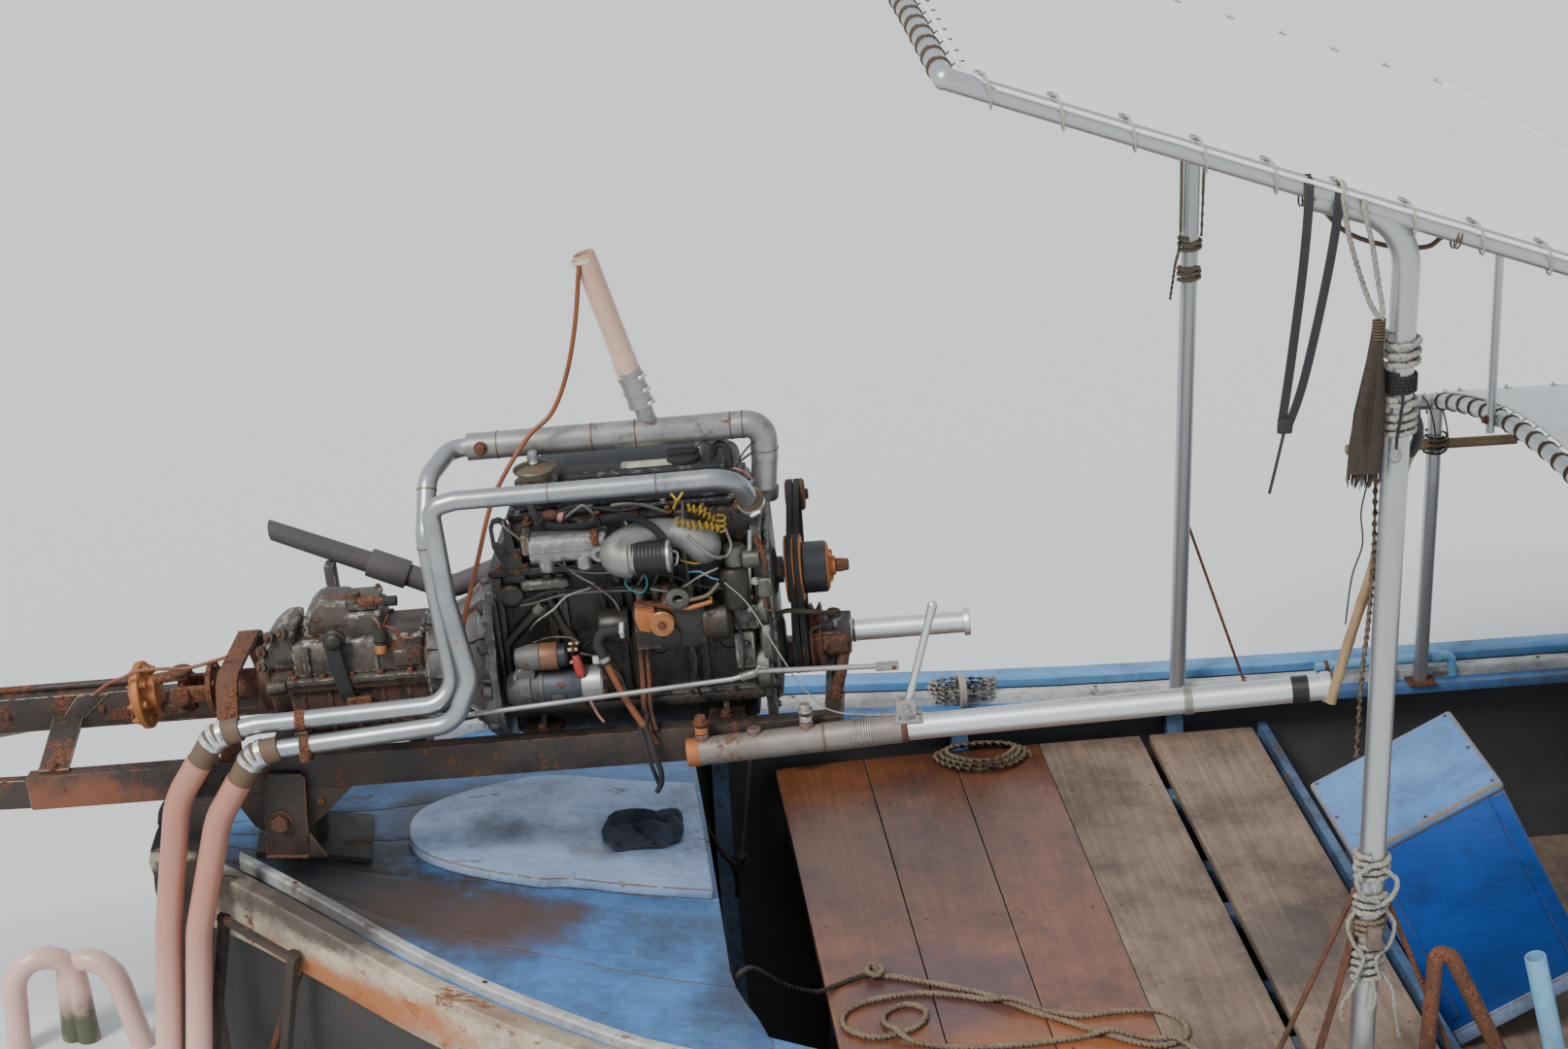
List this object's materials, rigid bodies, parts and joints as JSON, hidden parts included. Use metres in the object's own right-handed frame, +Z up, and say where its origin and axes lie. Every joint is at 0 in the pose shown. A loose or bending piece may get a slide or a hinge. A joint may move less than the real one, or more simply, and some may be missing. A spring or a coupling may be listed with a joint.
{
  "type": "longtail boat",
  "caption": "Open wooden boat with canopies, steered by a swivelling, tilting engine frame with a long propeller shaft tail and a tiller.",
  "frame": {"origin": "on the hull's centreline at the waterline, amidships between the stern block and the top of the stem", "axes": "+X to the bow, +Y to port, +Z up"},
  "size_m": [13.6543, 2.212, 3.1093],
  "materials": {
    "dark_hull": "dark oiled and sooty planking",
    "charred_wood": "oil-soaked end grain",
    "varnished_wood": "red-brown varnish, worn",
    "bare_wood": "weathered bare planks",
    "white_wood": "worn white paint over orange-brown",
    "blue_wood": "worn blue paint",
    "pale_blue_wood": "worn pale blue paint",
    "box_blue": "glossy blue paint",
    "white_tarp": "coated white cloth",
    "galvanised": "dull galvanised tube with rust spots",
    "stainless": "stainless tube",
    "rust": "rusty and oily steel",
    "orange_rust": "bright orange rust",
    "oily_iron": "black oily iron",
    "cast_alloy": "oily grey casting",
    "bright_alloy": "cast alloy",
    "bronze": "worn bronze-coloured casting",
    "rubber": "black belt rubber",
    "clear_hose": "translucent stained hose",
    "blue_pvc": "pale blue plastic tube"
  },
  "bodies": {
    "hull": {"hull_bottom": "dark_hull", "hull_side_port": "dark_hull", "hull_side_starboard": "dark_hull", "stern_block": "charred_wood", "keel": "dark_hull", "stem": "varnished_wood", "rub_strake_port": "white_wood", "rub_strake_starboard": "white_wood", "stern_deck": "blue_wood", "stern_platform": "pale_blue_wood", "side_deck_port": "blue_wood", "side_deck_starboard": "blue_wood", "fore_deck": "blue_wood", "aft_boards": "varnished_wood", "mid_boards": "bare_wood", "frames_aft": "blue_wood", "frames_fore": "blue_wood", "bulkhead": "blue_wood", "well_floor": "blue_wood", "seats": "varnished_wood", "locker_box": "box_blue", "helm_tarp": "white_tarp", "helm_canopy_frame": "galvanised", "passenger_tarp": "white_tarp", "passenger_canopy_frame": "galvanised", "passenger_bows": "galvanised", "rail_hoop": "rust", "rail_pipe": "blue_pvc", "pivot_base": "rust", "stern_braces": "rust"},
    "swivel": {"pivot_fork": "rust"},
    "engine_frame": {"sea_hose_1": "clear_hose", "sea_hose_2": "clear_hose", "frame_rails": "rust", "tail_channel": "rust", "gearbox": "cast_alloy", "bell_housing": "cast_alloy", "engine_block": "oily_iron", "rocker_cover": "oily_iron", "timing_cover": "cast_alloy", "generator": "cast_alloy", "belt_1": "rubber", "belt_2": "rubber", "intake_manifold": "bright_alloy", "starter": "cast_alloy", "injection_pump": "oily_iron", "exhaust_pipe": "oily_iron", "coolant_header": "galvanised", "riser_hose": "clear_hose", "coolant_pipe_2": "stainless", "tiller": "galvanised", "front_bar": "oily_iron", "gear_lever": "stainless", "shift_rod": "galvanised"},
    "propshaft": {"propeller_shaft": "rust", "propeller": "bronze"},
    "output_yoke": {"output_yoke": "oily_iron"},
    "crank_pulley": {"crank_pulley": "rust"},
    "fan_pulley": {"fan_pulley": "orange_rust"},
    "generator_pulley": {"generator_pulley": "oily_iron"}
  },
  "joints": [
    {"name": "steer", "type": "hinge", "parent": "hull", "child": "swivel", "pos_m": [-4.687, 0, 0.85], "axis": [0, 0, 1], "range_deg": [-37.5, 52.5], "deforming": ["sea_hose_1", "sea_hose_2"]},
    {"name": "tilt", "type": "hinge", "parent": "swivel", "child": "engine_frame", "pos_m": [-4.687, 0, 0.916], "axis": [-0.1305, -0.9914, 0], "range_deg": [-6, 15], "deforming": ["sea_hose_1", "sea_hose_2"]},
    {"name": "propeller_turn", "type": "hinge", "parent": "engine_frame", "child": "propshaft", "pos_m": [-4.93607, 0.03279, 1.12817], "axis": [0.9787, -0.1288, 0.1599], "continuous": true},
    {"name": "output_turn", "type": "hinge", "parent": "engine_frame", "child": "output_yoke", "pos_m": [-4.93607, 0.03279, 1.12817], "axis": [0.9888, -0.1302, 0.0732], "continuous": true},
    {"name": "crank_turn", "type": "hinge", "parent": "engine_frame", "child": "crank_pulley", "pos_m": [-3.54917, -0.1498, 1.23591], "axis": [0.9888, -0.1302, 0.0732], "continuous": true},
    {"name": "fan_turn", "type": "hinge", "parent": "engine_frame", "child": "fan_pulley", "pos_m": [-3.56158, -0.14816, 1.40645], "axis": [0.9888, -0.1302, 0.0732], "continuous": true},
    {"name": "generator_turn", "type": "hinge", "parent": "engine_frame", "child": "generator_pulley", "pos_m": [-3.54074, 0.06292, 1.5002], "axis": [0.9888, -0.1302, 0.0732], "continuous": true}
  ],
  "couplings": [
    {"joint": "output_turn", "follows": "propeller_turn", "ratio": 1},
    {"joint": "fan_turn", "follows": "crank_turn", "ratio": 1},
    {"joint": "generator_turn", "follows": "crank_turn", "ratio": 2}
  ]
}
